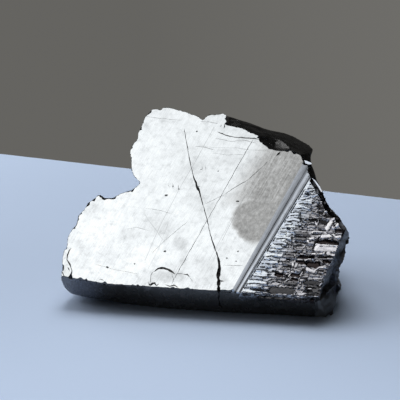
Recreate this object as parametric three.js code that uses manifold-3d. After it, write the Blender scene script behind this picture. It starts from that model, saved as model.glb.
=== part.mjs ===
// A hand-sized chunk of noble shungite, modelled as the one natural piece that it is.
// A bright flat cleavage face leans back at the front. Everything else is glassy black fracture:
// a low undercut wall below the face, a nearly level break at the top right, a splintery flank on
// the right, and steep shell-shaped breaks round the back. The stone rests on a flat underside.
// Millimetres, +Z up, the face looks towards -Y. The origin is under the middle of the stone.

import * as THREE from "three";
import { mergeVertices } from "three/addons/utils/BufferGeometryUtils.js";
import Module from "manifold-3d";

// ---- Driving dimensions ----

const FACE_SLOPE = 42; // degrees that the cleavage face leans back from level
const FACE_TURN = 8; // degrees that it turns away from square to the front
const LIP = new THREE.Vector3(8, -15, 5.4); // where the face's lower edge meets the ridge
const BODY_LENGTH = 60; // how far the flanks run back before the rear breaks cut them
const BODY_FALL = 20; // degrees that the flanks fall towards the back
const BODY_FLARE = 0.3; // share by which the outline has widened at the end of that length
const FLARE_CENTRE = new THREE.Vector2(-9.5, 20.5); // middle of the face, in its own plane
const CUTTER = 160; // edge of the blocks that make the plane cuts

// Outline of the stone seen square to its flanks, drawn in the plane of the cleavage face:
// first value to the right, second value up the slope, both from LIP.
const OUTLINE = [
  // lower left corner and the left end
  [-20, -16], [-33.6, -2.6], [-35.5, -1.3], [-36.5, 0.2], [-36.9, 3], [-37.2, 6.9],
  [-36.6, 7.3], [-36.8, 9.8], [-36.2, 11.8], [-35.4, 12.8], [-35.5, 14.8], [-34.3, 16.6],
  // low left wing, up to the notch
  [-33.8, 18.2], [-32.6, 19.1], [-31.9, 20.1], [-31.2, 20.2], [-30.3, 19.5], [-28.6, 19.7],
  [-27.2, 20.7], [-24.8, 21.7], [-23.3, 23.4],
  // left side of the tall lobe
  [-24.8, 24.6], [-25.7, 26.3], [-26, 28.6], [-26.7, 31], [-26.5, 32.7], [-25.5, 34],
  [-25.5, 36], [-24.9, 38], [-24.6, 40],
  // top edge of the lobe, with its nick
  [-23.8, 41.1], [-23.1, 42.2], [-22, 42.3], [-21.3, 41.9], [-20.7, 42.7], [-19.6, 42.8],
  [-17, 42.2], [-14.6, 41.4], [-12.4, 40.6], [-11.7, 39.7], [-10.6, 41.3], [-8.6, 41.4],
  [-7.2, 41.7], [-6.4, 41.2],
  // far edge of the level break at the top right
  [-3.5, 40.3], [-0.9, 39.5], [3, 38], [5.3, 37.6], [9.6, 36.2], [10.8, 35.9], [12, 34.2],
  [12.7, 33.3], [12.3, 31.5], [12.5, 30],
  // right flank
  [13.9, 26], [15.5, 22.6], [17, 19.6], [18.7, 17.9], [21.1, 14.4], [20.7, 12], [19.6, 7.7],
  [18.9, 4.9], [19.8, 2.4], [19, 0.3], [18.4, -1.5], [16, -6.5], [10, -16],
];

// Flat breaks: a point on each plane and the direction that it faces.
const FRONT_WALL = { at: [8, -15, 5.4], facing: [-0.13, -0.91, -0.4] };
const WALL_LEFT_END = { at: [-20.7, -10.8, 5.6], facing: [-0.24, -0.88, -0.41] };
const UNDERSIDE_LEFT = { at: [-25, -8, 1.9], facing: [-0.2, -0.1, -0.97] };
const UNDERSIDE_BACK = { at: [0, 15, 0], facing: [0.05, 0.5, -0.86] };
const RIGHT_LOWER = { at: [29.3, -6.6, 15.6], facing: [0.86, -0.5, -0.08] };
const RIGHT_END = { at: [31.4, 0, 12], facing: [0.98, 0.2, -0.04] };
const BACK_RIGHT = { at: [26, 17.5, 16], facing: [0.7, 0.66, 0.28] };
const BACK_RIGHT_LOW = { at: [29, 10, 5], facing: [0.75, 0.45, -0.48] };
const BACK_UPPER = { at: [-5, 20.6, 32.5], facing: [0, 0.9, 0.43] };
const BACK_MIDDLE = { at: [5, 24, 16], facing: [0.16, 0.98, -0.08] };
const BACK_LOWER = { at: [0, 19.5, 5], facing: [-0.1, 0.87, -0.48] };
const BACK_LEFT = { at: [-19, 13, 8], facing: [-0.62, 0.77, -0.16] };
const LEFT_END = { at: [-28.4, -6, 8.5], facing: [-0.93, 0.35, -0.12] };

// The wing's back slopes down from its top edge, and the lobe's left side stands above it.
const WING_BACK = { at: [-21, 4.5, 19.2], facing: [-0.46, 0.46, 0.76] };
const LOBE_LEFT = { at: [-15.8, 9.5, 24.3], facing: [-0.97, 0.24, 0.02] };

// The right flank's two upper breaks meet in a valley beside the top of the ridge.
const RIGHT_UPPER = { at: [22.9, 2.4, 22.8], facing: [0.5, -0.29, 0.81] };
const RIGHT_TOP = { at: [21.2, 7.4, 27], facing: [0.63, -0.36, 0.69] };

// The break at the top right: a small level shelf beside the lobe, and a ramp down to the right.
const SHELF_SIDE = { at: [5.9, 15, 32], facing: [0.99, -0.1, 0.12] };
const SHELF = { at: [7, 14.5, 31.2], facing: [0.1, -0.1, 0.99] };
const RAMP = { at: [13.3, 19, 30.1], facing: [0.29, -0.08, 0.95] };

// The ridge between the cleavage face and the splintery zone to its right: a bevel, then a narrow
// strip that fans out up the slope, then a step down. Each begins at a line that leaves the face's
// lower edge at foot, along that edge, and leans to the right going up the slope, in degrees.
const BEVEL_LINE = { foot: -1.9, lean: 22.6 };
const STRIP_LINE = { foot: -0.5, lean: 22 };
const STEP_LINE = { foot: 0.25, lean: 24.9 };
const BEVEL_ANGLE = 14; // degrees that the bevel drops away from the face
const STRIP_DEPTH = 0.22; // how far the strip lies below the face
const STEP_DEPTH = 0.9; // how far the splintery zone lies below it
const ZONE_TILT = 1.2; // degrees that the zone drops away from the step

// Splinters: rows of thin plates that lie along the zone, row above row up the slope.
const ROWS = 19;
const ROW_PITCH = 1.3;
const PLATE_HIGH = 0.8; // across a row
const PLATE_THICK = 1.6; // most of it is sunk in the stone
const PLATE_LONG = 3.8; // on average

// Shell-shaped breaks: the middle of each, the direction it faces, its radius and its depth.
const SCOOPS = [
  { at: [3, 25, 19], facing: [0.15, 0.95, 0.2], radius: 20, depth: 3 },
  { at: [21, 17, 12], facing: [0.6, 0.78, 0.05], radius: 15, depth: 2.6 },
  { at: [-17, 13, 12], facing: [-0.5, 0.7, 0.5], radius: 14, depth: 2.4 },
  { at: [-11.5, 21, 27], facing: [-0.8, 0.58, 0.1], radius: 11, depth: 1.2 },
  { at: [15.6, 9.2, 28.5], facing: [0.25, -0.1, 0.95], radius: 8, depth: 1 },
  { at: [31, 4, 10], facing: [0.93, 0.25, -0.1], radius: 12, depth: 1.8 },
  { at: [-24, -10, 3.6], facing: [-0.5, -0.78, -0.3], radius: 6, depth: 0.7 },
  { at: [-8, 19, 5], facing: [-0.25, 0.9, -0.3], radius: 10, depth: 1.5 },
];
const SCOOP_SEGMENTS = 40;

// ---- Solids ----

const wasm = await Module();
wasm.setup();

const radians = THREE.MathUtils.degToRad;
const vector = (xyz) => new THREE.Vector3(...xyz);

/** A closed three.js geometry as a solid that can be joined and cut. */
function solidOf(geometry) {
  geometry.deleteAttribute("normal");
  geometry.deleteAttribute("uv");
  const merged = mergeVertices(geometry, 1e-4);
  const mesh = new wasm.Mesh({
    numProp: 3,
    vertProperties: merged.attributes.position.array,
    triVerts: new Uint32Array(merged.index.array),
  });
  return new wasm.Manifold(mesh);
}

/** A solid's surface as a three.js geometry. */
function geometryOf(solid) {
  const mesh = solid.getMesh();
  const geometry = new THREE.BufferGeometry();
  geometry.setAttribute("position", new THREE.BufferAttribute(mesh.vertProperties, mesh.numProp));
  geometry.setIndex(new THREE.BufferAttribute(mesh.triVerts, 1));
  return geometry;
}

/** Everything on the outer side of a plane. */
function beyond({ at, facing }) {
  const block = new THREE.BoxGeometry(CUTTER, CUTTER, CUTTER);
  block.translate(0, 0, CUTTER / 2);
  const up = new THREE.Vector3(0, 0, 1);
  block.applyQuaternion(new THREE.Quaternion().setFromUnitVectors(up, vector(facing).normalize()));
  block.translate(...at);
  return solidOf(block);
}

/** A ball that leaves a shell-shaped hollow of the given radius of curvature and depth. */
function scoopBall({ at, facing, radius, depth }) {
  const ball = new THREE.SphereGeometry(radius, SCOOP_SEGMENTS, SCOOP_SEGMENTS / 2);
  const out = vector(facing).normalize();
  ball.translate(...vector(at).addScaledVector(out, radius - depth).toArray());
  return solidOf(ball);
}

// ---- The cleavage face and its own directions ----

const slope = radians(FACE_SLOPE);
const turn = radians(FACE_TURN);
const along = new THREE.Vector3(Math.cos(turn), -Math.sin(turn), 0);
const upSlope = new THREE.Vector3(
  Math.sin(turn) * Math.cos(slope),
  Math.cos(turn) * Math.cos(slope),
  Math.sin(slope),
);
const outward = new THREE.Vector3().crossVectors(along, upSlope);

/** A point given along the face, up its slope and out from it. */
function onFace(right, up, out = 0) {
  return LIP.clone()
    .addScaledVector(along, right)
    .addScaledVector(upSlope, up)
    .addScaledVector(outward, out);
}

/** A direction given in the same way. */
function faceDirection(right, up, out) {
  return onFace(right, up, out).sub(LIP).toArray();
}

/** The stone's outline, run back from the face as flanks that fall and open out. */
function flankedBody() {
  const shape = new THREE.Shape(OUTLINE.map(([right, up]) => new THREE.Vector2(right, up)));
  const body = new THREE.ExtrudeGeometry(shape, { depth: 1, bevelEnabled: false });
  const fall = radians(BODY_FALL);
  const back = new THREE.Vector3(0, Math.cos(fall), -Math.sin(fall)).multiplyScalar(BODY_LENGTH);
  const position = body.attributes.position;
  for (let i = 0; i < position.count; i++) {
    const distance = 1 - position.getZ(i); // 0 on the face, 1 at the far end
    const flare = 1 + BODY_FLARE * distance;
    const flat = new THREE.Vector2(position.getX(i), position.getY(i));
    flat.sub(FLARE_CENTRE).multiplyScalar(flare).add(FLARE_CENTRE);
    const point = onFace(flat.x, flat.y).addScaledVector(back, distance);
    position.setXYZ(i, point.x, point.y, point.z);
  }
  return solidOf(body);
}

/** What lies right of one of the ridge's lines. */
function rightOf({ foot, lean }) {
  const angle = radians(lean);
  const facing = faceDirection(Math.cos(angle), -Math.sin(angle), 0);
  return beyond({ at: onFace(foot, 0).toArray(), facing });
}

/** The bevel beside the face: a plane hinged on the bevel's line. */
function bevelCut() {
  const lean = radians(BEVEL_LINE.lean);
  const drop = radians(BEVEL_ANGLE);
  const sideways = Math.sin(drop);
  const facing = faceDirection(Math.cos(lean) * sideways, -Math.sin(lean) * sideways, Math.cos(drop));
  const bevel = beyond({ at: onFace(BEVEL_LINE.foot, 0).toArray(), facing });
  return bevel.subtract(rightOf(STRIP_LINE));
}

/** The narrow strip, level with the face but a little below it. */
function stripCut() {
  const at = onFace(STRIP_LINE.foot, 0, -STRIP_DEPTH).toArray();
  return beyond({ at, facing: outward.toArray() }).intersect(rightOf(STRIP_LINE));
}

/** The step down to the splintery zone. */
function zoneCut() {
  const tilt = radians(ZONE_TILT);
  const at = onFace(STEP_LINE.foot, 0, -STEP_DEPTH).toArray();
  const facing = faceDirection(Math.sin(tilt), 0, Math.cos(tilt));
  return beyond({ at, facing }).intersect(rightOf(STEP_LINE));
}

/** A repeatable stand-in for chance: a value from 0 to 1 for each pair of numbers. */
function chance(i, j) {
  const value = Math.sin(i * 12.9898 + j * 78.233) * 43758.5453;
  return value - Math.floor(value);
}

/** One thin plate of the splintery zone, lying in row number row. */
function plate(row, column, start, length) {
  const high = PLATE_HIGH * (0.8 + 0.5 * chance(row, column + 7));
  const shape = new THREE.BoxGeometry(length, high, PLATE_THICK);
  shape.rotateZ(radians(7 * (chance(row, column + 3) - 0.5)));
  shape.rotateX(radians(26 * (chance(row, column + 5) - 0.2)));
  const basis = new THREE.Matrix4().makeBasis(along, upSlope, outward);
  const up = ROW_PITCH * (row + 0.5) + 0.5 * (chance(row, column) - 0.5);
  const drop = start * Math.sin(radians(ZONE_TILT));
  const out = -STEP_DEPTH - drop - PLATE_THICK / 2 + 0.25 + 0.35 * chance(row, column + 9);
  const foot = STEP_LINE.foot + up * Math.tan(radians(STEP_LINE.lean));
  basis.setPosition(onFace(foot + start + length / 2, up, out));
  shape.applyMatrix4(basis);
  return solidOf(shape);
}

/** All the plates, row above row, each row a run of plates with gaps between them. */
function plates() {
  const made = [];
  for (let row = 0; row < ROWS; row++) {
    const room = 15.5 - 0.72 * row; // the zone narrows up the slope
    let start = 0.3 + chance(row, 1);
    for (let column = 0; start < room; column++) {
      const length = PLATE_LONG * (0.6 + 0.9 * chance(row, column + 11));
      made.push(plate(row, column, start, length));
      start += length + 0.35;
    }
  }
  return wasm.Manifold.union(made);
}

/** The whole stone. */
function stone() {
  const body = flankedBody();
  const shelf = beyond(SHELF).add(beyond(RAMP)).intersect(beyond(SHELF_SIDE));
  const wingCorner = beyond(WING_BACK).intersect(beyond(LOBE_LEFT));
  const flankCorner = beyond(RIGHT_TOP).intersect(beyond(RIGHT_UPPER));
  const ground = { at: [0, 0, 0], facing: [0, 0, -1] };
  const flats = [
    ground, FRONT_WALL, WALL_LEFT_END, UNDERSIDE_LEFT, UNDERSIDE_BACK, RIGHT_LOWER, RIGHT_END,
    BACK_RIGHT, BACK_RIGHT_LOW, BACK_UPPER, BACK_MIDDLE, BACK_LOWER, BACK_LEFT, LEFT_END,
  ].map(beyond);
  const corners = [shelf, wingCorner, flankCorner];
  const breaks = wasm.Manifold.union([...flats, ...corners, ...SCOOPS.map(scoopBall)]);
  const ridge = bevelCut().add(stripCut()).add(zoneCut());
  const cleaved = body.subtract(breaks).subtract(ridge);
  const splinters = plates().intersect(body).subtract(breaks);
  return cleaved.add(splinters);
}

/** The largest body of a solid, without the crumbs that a cut may leave beside it. */
function largestBody(solid) {
  const bodies = solid.decompose();
  return bodies.reduce((best, next) => (next.volume() > best.volume() ? next : best));
}

// ---- The part ----

const geometry = geometryOf(largestBody(stone()));
geometry.computeBoundingBox();
const middle = geometry.boundingBox.getCenter(new THREE.Vector3());
geometry.translate(-middle.x, -middle.y, -geometry.boundingBox.min.z);
geometry.computeVertexNormals();

const shungite = new THREE.Mesh(
  geometry,
  new THREE.MeshStandardMaterial({ color: 0x2b2c2f, roughness: 0.28, metalness: 0.55 }),
);
shungite.name = "shungite";

const part = new THREE.Group();
part.add(shungite);

export default part;
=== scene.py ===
import math

import bpy
import numpy as np
from mathutils import Matrix, Vector, noise
from mathutils.bvhtree import BVHTree


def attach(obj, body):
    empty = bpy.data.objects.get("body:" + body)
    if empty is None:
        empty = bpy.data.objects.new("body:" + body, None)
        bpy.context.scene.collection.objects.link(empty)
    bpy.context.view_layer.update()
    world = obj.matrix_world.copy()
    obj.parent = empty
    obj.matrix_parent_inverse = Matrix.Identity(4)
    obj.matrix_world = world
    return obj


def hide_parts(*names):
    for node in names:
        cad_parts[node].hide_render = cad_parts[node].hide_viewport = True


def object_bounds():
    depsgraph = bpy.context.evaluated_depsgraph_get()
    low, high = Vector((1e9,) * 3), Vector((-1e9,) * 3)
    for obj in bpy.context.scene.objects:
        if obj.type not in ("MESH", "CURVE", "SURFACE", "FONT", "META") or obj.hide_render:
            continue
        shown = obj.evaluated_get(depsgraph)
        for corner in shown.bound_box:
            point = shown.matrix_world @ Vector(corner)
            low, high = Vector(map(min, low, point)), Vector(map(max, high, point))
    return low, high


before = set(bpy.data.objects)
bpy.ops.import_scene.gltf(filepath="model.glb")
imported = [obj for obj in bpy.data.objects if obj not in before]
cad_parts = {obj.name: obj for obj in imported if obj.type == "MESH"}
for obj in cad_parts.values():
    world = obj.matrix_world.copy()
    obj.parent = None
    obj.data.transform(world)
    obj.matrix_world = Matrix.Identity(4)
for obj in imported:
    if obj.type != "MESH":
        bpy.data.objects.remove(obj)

CAD_LOW, CAD_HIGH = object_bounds()
MM = 0.001

# ---------------------------------------------------------------- the face frame
# The bright cleavage face is a plane. Places on it are given in millimetres:
# along (to the right), up (up the slope) and out (away from the stone).
FACE_SLOPE = math.radians(42)
FACE_TURN = math.radians(8)
ALONG = Vector((math.cos(FACE_TURN), -math.sin(FACE_TURN), 0))
UP = Vector((
    math.sin(FACE_TURN) * math.cos(FACE_SLOPE),
    math.cos(FACE_TURN) * math.cos(FACE_SLOPE),
    math.sin(FACE_SLOPE),
))
OUT = ALONG.cross(UP)
SKIN = 0.1  # the visible face lies this far inside the CAD's
BASE = Vector((
    (CAD_LOW.x + CAD_HIGH.x) / 2,
    (CAD_LOW.y + CAD_HIGH.y) / 2,
    CAD_LOW.z,
))
LIP = BASE + (Vector((6.483, -19.561, 5.4)) - OUT * SKIN) * MM
FACE_MATRIX = Matrix((
    (ALONG.x, UP.x, OUT.x, LIP.x),
    (ALONG.y, UP.y, OUT.y, LIP.y),
    (ALONG.z, UP.z, OUT.z, LIP.z),
    (0, 0, 0, 1),
))


def on_face(along, up, out=0.0):
    return LIP + (ALONG * along + UP * up + OUT * out) * MM


# ---------------------------------------------------------------- small helpers
def deselect():
    for o in bpy.context.selected_objects:
        o.select_set(False)


def pick(o):
    deselect()
    o.select_set(True)
    bpy.context.view_layer.objects.active = o
    return o


def edit(o):
    pick(o)
    bpy.ops.object.mode_set(mode="EDIT")
    bpy.ops.mesh.select_all(action="SELECT")


def leave():
    bpy.ops.object.mode_set(mode="OBJECT")


def applied(o, kind, **settings):
    pick(o)
    m = o.modifiers.new(kind, kind)
    for name, value in settings.items():
        setattr(m, name, value)
    bpy.ops.object.modifier_apply(modifier=m.name)
    return o


def combine(stone, tool, how):
    applied(stone, "BOOLEAN", operation=how, solver="MANIFOLD", object=tool)
    bpy.data.objects.remove(tool)


def coordinates(o):
    co = np.empty(len(o.data.vertices) * 3)
    o.data.vertices.foreach_get("co", co)
    return co.reshape(-1, 3)


def set_coordinates(o, co):
    o.data.vertices.foreach_set("co", np.asarray(co, float).ravel())
    o.data.update()


def in_order(o):
    """Sorts the faces, each from its lowest corner, so that every run gives the same mesh."""
    faces = []
    for p in o.data.polygons:
        corners = tuple(p.vertices)
        first = corners.index(min(corners))
        faces.append(corners[first:] + corners[:first])
    co = coordinates(o).tolist()
    o.data.clear_geometry()
    o.data.from_pydata(co, [], sorted(faces))
    o.data.update()


def face_places(co):
    """along, up and out in millimetres of each point."""
    d = (co - np.array(LIP)) / MM
    return d @ np.array(ALONG), d @ np.array(UP), d @ np.array(OUT)


# ---------------------------------------------------------------- noise in code
def lattice(seed, size=64):
    return np.random.default_rng(seed).random((size, size)) * 2 - 1


def waves(x, y, seed):
    """Smooth noise from -1 to 1 with bumps about one unit across."""
    table = lattice(seed)
    x0, y0 = np.floor(x).astype(int), np.floor(y).astype(int)
    fx, fy = x - x0, y - y0
    fx, fy = fx * fx * (3 - 2 * fx), fy * fy * (3 - 2 * fy)

    def at(i, j):
        return table[(x0 + i) % 64, (y0 + j) % 64]

    low = at(0, 0) * (1 - fx) + at(1, 0) * fx
    high = at(0, 1) * (1 - fx) + at(1, 1) * fx
    return low * (1 - fy) + high * fy


def waves3(p, size, seed):
    """The same in space, for points in metres and bumps of that size in millimetres."""
    q = p / (size * MM)
    table = np.random.default_rng(seed).random((32, 32, 32)) * 2 - 1
    i = np.floor(q).astype(int)
    f = q - i
    f = f * f * (3 - 2 * f)
    total = 0
    for a in (0, 1):
        for b in (0, 1):
            for c in (0, 1):
                weight = (
                    (f[:, 0] if a else 1 - f[:, 0])
                    * (f[:, 1] if b else 1 - f[:, 1])
                    * (f[:, 2] if c else 1 - f[:, 2])
                )
                total = total + weight * table[
                    (i[:, 0] + a) % 32, (i[:, 1] + b) % 32, (i[:, 2] + c) % 32
                ]
    return total


def chance(i, j, seed):
    return (lattice(seed)[i % 64, j % 64] + 1) / 2


def smooth(x, low, high):
    t = np.clip((x - low) / (high - low), 0, 1)
    return t * t * (3 - 2 * t)


# ---------------------------------------------------------------- the stone's body
GRAIN = 0.00027  # edge of the small squares that the surface is made of
KEPT_FACES = 0.4  # share of them that is left where the surface is plain
CORNER_DEPTH = -2.2  # how deep the splintered corner's block reaches, in millimetres
CORNER_LEVEL = SKIN - 0.03  # its top, which is trimmed level with the face
BLOCK = 0.12  # edge of the blocks that trim the stone


def stone_body():
    """A merged copy of the CAD solid."""
    deselect()
    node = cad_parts["shungite"]
    o = node.copy()
    o.data = node.data.copy()
    o.name = "raw_shungite"
    o.parent = None
    bpy.context.scene.collection.objects.link(o)
    edit(o)
    bpy.ops.mesh.remove_doubles(threshold=1e-6)
    leave()
    return o


CORNER = [
    (-3.0, 0.05), (15.6, 0.05), (16.2, 2.5), (16.8, 4.7), (17.3, 6.5), (18.0, 8.0),
    (18.5, 10.3), (19.2, 12.5), (19.7, 15.2), (17.4, 18.2), (16.1, 19.5),
    (14.4, 22.4), (12.4, 25.8), (11.7, 27.6), (10.9, 29.3), (10.2, 30.5), (9.3, 30.0),
]


def prism(outline, low, high):
    """An upright block on the face with that outline, from low to high above it."""
    deselect()
    bpy.ops.mesh.primitive_circle_add(vertices=len(outline), fill_type="NGON")
    o = bpy.context.object
    for v, (along, up) in zip(o.data.vertices, outline):
        v.co = on_face(along, up, low)
    o.matrix_world = Matrix.Identity(4)
    edit(o)
    bpy.ops.mesh.extrude_region_move(
        TRANSFORM_OT_translate={"value": OUT * (high - low) * MM}
    )
    bpy.ops.mesh.select_all(action="SELECT")
    bpy.ops.mesh.normals_make_consistent(inside=False)
    leave()
    return o


# Rough lumps of rock on the lower right side: their corners as x, y, z in millimetres.
LUMPS = [
    [(23.6, -20.6, -0.3), (25.4, -18.6, -0.3), (26.4, -16.8, 1.6), (26.6, -16.2, 3.4), (25.7, -15.6, 5.0),
     (21.5, -19.9, -0.3), (20.5, -17.0, -0.3), (20.5, -18.5, 3.0), (22.3, -19.6, 3.5), (23.5, -18.3, 4.6),
     (22.0, -13.0, -0.3), (24.5, -13.0, 4.5), (25.5, -13.5, -0.3), (23.6, -19.7, 1.5)],
    [(27.3, -12.9, 4.5), (28.3, -12.2, 3.4), (28.4, -12.2, 2.6), (27.9, -12.3, 1.8), (27.3, -12.6, 1.0),
     (25.5, -14.0, 2.0), (25.3, -13.8, 4.0), (25.5, -11.5, 5.2), (25.5, -10.5, 0.8), (26.5, -10.8, 3.5),
     (24.5, -12.0, 1.0), (24.5, -12.0, 4.0)],
    [(27.9, -12.2, 9.4), (28.6, -10.5, 10.6), (27.3, -12.8, 7.9), (27.0, -12.9, 6.9), (26.9, -12.8, 6.0),
     (26.8, -12.6, 5.0), (25.2, -13.2, 7.5), (25.0, -13.0, 5.5), (25.0, -10.0, 10.0), (26.0, -8.0, 9.0),
     (26.0, -8.0, 5.0), (25.0, -12.0, 3.5), (27.7, -10.5, 7.0)],
    [(29.9, -4.5, 12.2), (29.9, -5.8, 11.2), (29.5, -8.0, 10.9), (29.1, -8.6, 10.0), (28.7, -10.0, 9.3),
     (28.1, -11.0, 8.4), (26.0, -8.0, 12.0), (26.0, -4.0, 13.0), (26.0, -4.0, 8.0), (26.0, -9.0, 6.0),
     (25.5, -12.0, 9.0), (28.5, -4.0, 8.0)],
]


def lump(corners):
    """A rough block of rock with those corners."""
    deselect()
    bpy.ops.mesh.primitive_circle_add(vertices=len(corners))
    o = bpy.context.object
    o.matrix_world = Matrix.Identity(4)
    set_coordinates(o, np.array(BASE) + np.array(corners) * MM)
    edit(o)
    bpy.ops.mesh.convex_hull()
    bpy.ops.mesh.normals_make_consistent(inside=False)
    leave()
    return o


def block_below():
    """A block under the table top, which trims whatever reaches below it."""
    deselect()
    bpy.ops.mesh.primitive_cube_add(size=BLOCK)
    o = bpy.context.object
    o.data.transform(Matrix.Translation((0, 0, CAD_LOW.z - BLOCK / 2)))
    return o


def block_above(out):
    """A block whose flat underside lies on the face, raised by out."""
    deselect()
    bpy.ops.mesh.primitive_cube_add(size=BLOCK)
    o = bpy.context.object
    o.data.transform(Matrix.Translation((0, 0, BLOCK / 2 + out * MM)))
    o.data.transform(FACE_MATRIX)
    return o


# ---------------------------------------------------------------- broken surfaces
FRONT = Vector((-0.13, -0.91, -0.4)).normalized()


def vertex_normals(o):
    n = np.empty(len(o.data.vertices) * 3)
    o.data.vertex_normals.foreach_get("vector", n)
    return n.reshape(-1, 3)


def dishes(co, size, seed):
    """Depth, from 0 on the ridges to 1 in the middle, of shell-like hollows of that size."""
    start = Vector((seed * 7.3, seed * 3.1, seed * 5.7))
    scale = 1 / (size * MM)
    depth = [
        noise.voronoi(Vector(p) * scale + start, distance_metric="DISTANCE_SQUARED")[0][0]
        for p in co
    ]
    return 1 - np.clip(np.array(depth) * 1.3, 0, 1)


def break_surface(o, facets):
    """Presses shell-like hollows and grit into every face but the cleavage face."""
    co, normal = coordinates(o), vertex_normals(o)
    along, up, out = face_places(co)
    facing = np.array([facets.find_nearest(Vector(p))[1] for p in co])
    front = smooth(facing @ np.array(FRONT), 0.8, 0.97)
    below = smooth(-facing[:, 2], 0.8, 0.98)
    level = smooth(facing[:, 2], 0.85, 0.97) * smooth(along, 3.0, 6.0)
    right = smooth(along, 13.0, 17.0) * (1 - below)
    behind = smooth(-out, 3.0, 9.0)
    calm = 1 - np.maximum(np.maximum(front, below * 0.7), level) * 0.92
    glassy = 1 - 0.75 * smooth(up, 20.0, 25.0) * smooth(out, -7.0, -4.0)
    press = 0.55 * behind * dishes(co, 7.5, 1)
    press += (0.1 + 0.2 * behind + 0.3 * right) * dishes(co, 2.6, 2)
    press += (0.07 + 0.07 * right) * dishes(co, 1.1, 3) * glassy
    grit = (0.03 * waves3(co, 0.55, 5) + 0.1 * waves3(co, 2.2, 6)) * glassy
    shift = (-press * calm + grit * calm - 0.1 * calm + 0.02 * waves3(co, 3.0, 7)) * MM
    share = ridge_share(along, up)
    joint = (share > -0.75) & (share < 0.5) & (up > 0.6) & (up < 29.6)
    keep = smooth(out, -0.5, -0.2) * ((facing @ np.array(OUT) > 0.98) | joint)
    shift = shift * (1 - keep)
    co = co + normal * shift[:, None]
    # small pits where the corner's block joins the body are filled
    lift = np.where(joint & (out > -0.6), (0.06 - out).clip(0), 0) * MM
    co += lift[:, None] * np.array(OUT)
    # the left end of the front wall hangs a little lower
    low_left = smooth(-along, 25.0, 32.5) * (1 - smooth(-along, 34.8, 36.6))
    low_left *= smooth(-out, 1.2, 3.8) * (1 - smooth(-out, 6.0, 9.0))
    co[:, 2] -= 0.75 * MM * low_left
    # the foot of the front wall stands further forward
    foot = (-out / 5.2).clip(0, 1) * (1 - smooth(up - 0.31 * out, 0.5, 6.0))
    foot *= 1 - smooth(-along, 14.0, 27.0)
    foot *= 1 - 0.4 * smooth(along, -4.0, 8.0) - 0.6 * smooth(along, 13.5, 16.0)
    co[:, 1] -= 1.0 * MM * foot
    set_coordinates(o, co)


# ---------------------------------------------------------------- relief of the corner
# Lines on the face: where they cross up = 0, and how far they lean to the right.
BEVEL_LINE = (-1.9, math.tan(math.radians(22.6)))
CRACK_LINE = (-0.05, math.tan(math.radians(24.9)))


def line_at(line, up):
    foot, slope = line
    return foot + up * slope


def ridge_share(along, up):
    """0 at the bevel's upper edge, 1 at the crack beside the splintered corner."""
    left, right = line_at(BEVEL_LINE, up), line_at(CRACK_LINE, up)
    return (along - left) / (right - left)


def bricks(s, v, pitch, length, seed):
    """Wavy rows of plates: two chances for each plate, the way to its long and its short sides."""
    row = v / pitch + 0.5 * waves(s / 1.7, v / 1.3, seed) + 0.2 * waves(s / 0.5, v / 0.5, seed + 1)
    r = np.floor(row).astype(int)
    q = s / length + 7 * chance(r, 0 * r, seed + 2) + 0.35 * waves(s / 0.9, v / 0.5, seed + 3)
    b = np.floor(q).astype(int)
    nearest = np.round(row)
    open_here = smooth(waves(s / 1.9 + 3.3 * nearest, 0.37 * nearest, seed + 6), -0.55, 0.0)
    long_side = np.abs(row - nearest) * pitch + 0.14 * (1 - open_here)
    short_side = np.minimum(q - b, b + 1 - q) * length
    return chance(b, r, seed + 4), chance(b, r, seed + 5), long_side, short_side


def groove(away, half):
    return 1 - smooth(away, 0.25 * half, half)


# The corner's plates and hollows: points of along and up, half width, how silver; the low silver of the
# gaps, slits and hollow is painted shade.
RUSTY_POCKETS = [
    ([(15.3, 12.2), (16.6, 12.3), (18.4, 11.9)], 0.42, 0.1), ([(14.4, 12.2), (15.4, 12.1)], 0.3, 0.14),
    ([(13.0, 7.2), (14.5, 7.1)], 0.62, 0.12), ([(14.3, 6.6), (14.8, 6.5)], 0.3, 0.1),
    ([(11.0, 8.5), (13.6, 8.6)], 0.33, 0.16), ([(9.9, 4.6), (11.2, 4.5)], 0.42, 0.1),
    ([(10.6, 7.6), (12.0, 7.4)], 0.3, 0.14), ([(6.8, 4.5), (8.0, 4.4)], 0.42, 0.14),
    ([(9.8, 3.7), (10.8, 3.6)], 0.25, 0.16), ([(14.8, 8.7), (17.8, 8.8)], 0.16, 0.14),
    ([(16.0, 7.9), (17.0, 7.8)], 0.3, 0.15), ([(18.2, 14.9), (19.2, 14.8)], 0.35, 0.1),
]
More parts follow.
